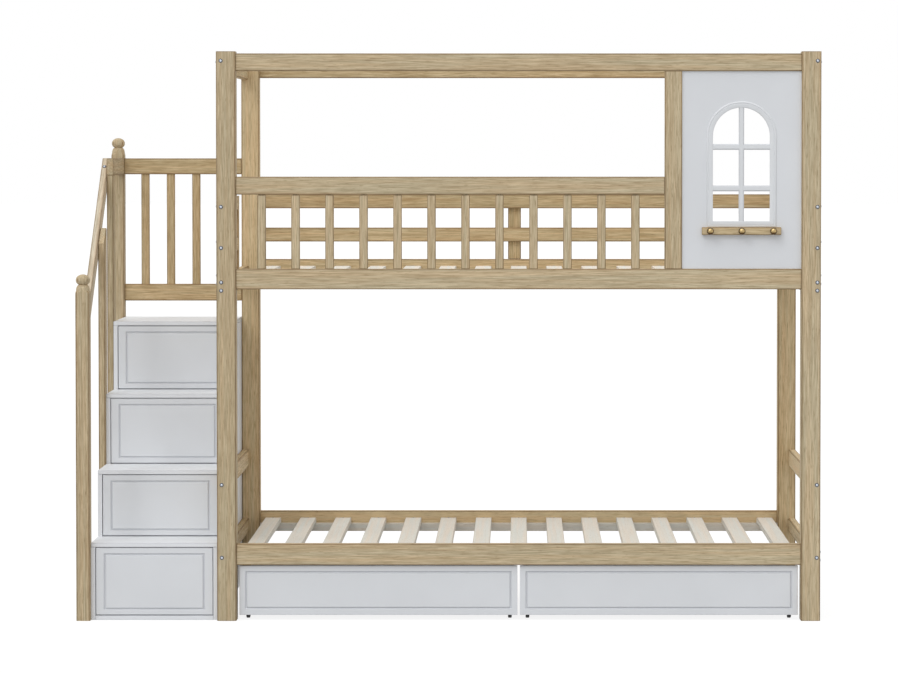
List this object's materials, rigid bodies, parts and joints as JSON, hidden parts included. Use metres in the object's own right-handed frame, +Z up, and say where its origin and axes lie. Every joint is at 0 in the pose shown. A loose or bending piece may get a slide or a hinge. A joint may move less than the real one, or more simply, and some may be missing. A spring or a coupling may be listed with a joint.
{
  "type": "bunk bed with drawers",
  "caption": "Twin-over-twin bunk bed in light oak and white, with a staircase of step drawers, drawers on casters under it, slatted guards and an arched window panel.",
  "frame": {"origin": "on the floor, under the middle of the whole object's box", "axes": "+X along the bunk, away from the staircase; +Y from the front to the wall side; +Z up"},
  "size_m": [2.5436, 1.0886, 1.946],
  "materials": {
    "oak": "satin lacquer over light oak grain",
    "cream_slat": "plain sanded softwood",
    "white_board": "satin white paint",
    "brass": "polished",
    "black_plastic": "moulded"
  },
  "bodies": {
    "frame": {"post_front_left": "oak", "post_front_right": "oak", "post_back_left": "oak", "post_back_right": "oak", "top_rail_front": "oak", "top_rail_back": "oak", "top_rail_left": "oak", "top_rail_right": "oak", "upper_deck_rail_front": "oak", "upper_deck_rail_back": "oak", "upper_deck_rail_left": "oak", "upper_deck_rail_right": "oak", "lower_deck_rail_front": "oak", "lower_deck_rail_back": "oak", "lower_deck_rail_left": "oak", "lower_deck_rail_right": "oak", "foot_rail": "oak", "head_rail": "oak", "front_guard": "oak", "back_guard": "oak", "right_guard_rail_upper": "oak", "right_guard_rail_lower": "oak", "left_guard": "oak", "window_stile": "oak", "peg_rail": "oak", "newel_front": "oak", "newel_back": "oak", "handrail": "oak", "side_baluster_lower": "oak", "side_baluster_upper": "oak", "platform_rail": "oak", "stair_guard": "oak", "upper_slat_base": "cream_slat", "lower_slat_base": "cream_slat", "window_panel": "white_board", "stair_side_left": "white_board", "stair_side_right": "white_board", "tread_1": "white_board", "tread_2": "white_board", "tread_3": "white_board", "tread_4": "white_board", "stair_base": "white_board", "stair_back": "white_board", "peg_knob_1": "brass", "peg_knob_2": "brass", "peg_knob_3": "brass"},
    "step_drawer_1": {"step_drawer_1": "white_board"},
    "step_drawer_2": {"step_drawer_2": "white_board"},
    "step_drawer_3": {"step_drawer_3": "white_board"},
    "step_drawer_4": {"step_drawer_4": "white_board"},
    "bed_drawer_left": {"bed_drawer_left": "white_board"},
    "bed_drawer_right": {"bed_drawer_right": "white_board"},
    "left_wheel_front_left": {"left_wheel_front_left": "black_plastic"},
    "left_wheel_front_right": {"left_wheel_front_right": "black_plastic"},
    "left_wheel_back_left": {"left_wheel_back_left": "black_plastic"},
    "left_wheel_back_right": {"left_wheel_back_right": "black_plastic"},
    "right_wheel_front_left": {"right_wheel_front_left": "black_plastic"},
    "right_wheel_front_right": {"right_wheel_front_right": "black_plastic"},
    "right_wheel_back_left": {"right_wheel_back_left": "black_plastic"},
    "right_wheel_back_right": {"right_wheel_back_right": "black_plastic"}
  },
  "joints": [
    {"name": "step_drawer_1_slide", "type": "slide", "parent": "frame", "child": "step_drawer_1", "axis": [0, -1, 0], "range_m": [0, 0.36]},
    {"name": "step_drawer_2_slide", "type": "slide", "parent": "frame", "child": "step_drawer_2", "axis": [0, -1, 0], "range_m": [0, 0.36]},
    {"name": "step_drawer_3_slide", "type": "slide", "parent": "frame", "child": "step_drawer_3", "axis": [0, -1, 0], "range_m": [0, 0.36]},
    {"name": "step_drawer_4_slide", "type": "slide", "parent": "frame", "child": "step_drawer_4", "axis": [0, -1, 0], "range_m": [0, 0.23]},
    {"name": "bed_drawer_left_slide", "type": "slide", "parent": "frame", "child": "bed_drawer_left", "axis": [0, -1, 0], "range_m": [0, 0.56]},
    {"name": "bed_drawer_right_slide", "type": "slide", "parent": "frame", "child": "bed_drawer_right", "axis": [0, -1, 0], "range_m": [0, 0.56]},
    {"name": "left_wheel_front_left_spin", "type": "hinge", "parent": "bed_drawer_left", "child": "left_wheel_front_left", "pos_m": [-0.6897, -0.4377, 0.017], "axis": [1, 0, 0], "continuous": true},
    {"name": "left_wheel_front_right_spin", "type": "hinge", "parent": "bed_drawer_left", "child": "left_wheel_front_right", "pos_m": [0.21055, -0.4377, 0.017], "axis": [1, 0, 0], "continuous": true},
    {"name": "left_wheel_back_left_spin", "type": "hinge", "parent": "bed_drawer_left", "child": "left_wheel_back_left", "pos_m": [-0.6897, 0.0043, 0.017], "axis": [1, 0, 0], "continuous": true},
    {"name": "left_wheel_back_right_spin", "type": "hinge", "parent": "bed_drawer_left", "child": "left_wheel_back_right", "pos_m": [0.21055, 0.0043, 0.017], "axis": [1, 0, 0], "continuous": true},
    {"name": "right_wheel_front_left_spin", "type": "hinge", "parent": "bed_drawer_right", "child": "right_wheel_front_left", "pos_m": [0.27105, -0.4377, 0.017], "axis": [1, 0, 0], "continuous": true},
    {"name": "right_wheel_front_right_spin", "type": "hinge", "parent": "bed_drawer_right", "child": "right_wheel_front_right", "pos_m": [1.1713, -0.4377, 0.017], "axis": [1, 0, 0], "continuous": true},
    {"name": "right_wheel_back_left_spin", "type": "hinge", "parent": "bed_drawer_right", "child": "right_wheel_back_left", "pos_m": [0.27105, 0.0043, 0.017], "axis": [1, 0, 0], "continuous": true},
    {"name": "right_wheel_back_right_spin", "type": "hinge", "parent": "bed_drawer_right", "child": "right_wheel_back_right", "pos_m": [1.1713, 0.0043, 0.017], "axis": [1, 0, 0], "continuous": true}
  ],
  "couplings": [
    {"joint": "left_wheel_front_left_spin", "follows": "bed_drawer_left_slide", "rad_per_m": 58.824},
    {"joint": "left_wheel_front_right_spin", "follows": "bed_drawer_left_slide", "rad_per_m": 58.824},
    {"joint": "left_wheel_back_left_spin", "follows": "bed_drawer_left_slide", "rad_per_m": 58.824},
    {"joint": "left_wheel_back_right_spin", "follows": "bed_drawer_left_slide", "rad_per_m": 58.824},
    {"joint": "right_wheel_front_left_spin", "follows": "bed_drawer_right_slide", "rad_per_m": 58.824},
    {"joint": "right_wheel_front_right_spin", "follows": "bed_drawer_right_slide", "rad_per_m": 58.824},
    {"joint": "right_wheel_back_left_spin", "follows": "bed_drawer_right_slide", "rad_per_m": 58.824},
    {"joint": "right_wheel_back_right_spin", "follows": "bed_drawer_right_slide", "rad_per_m": 58.824}
  ]
}
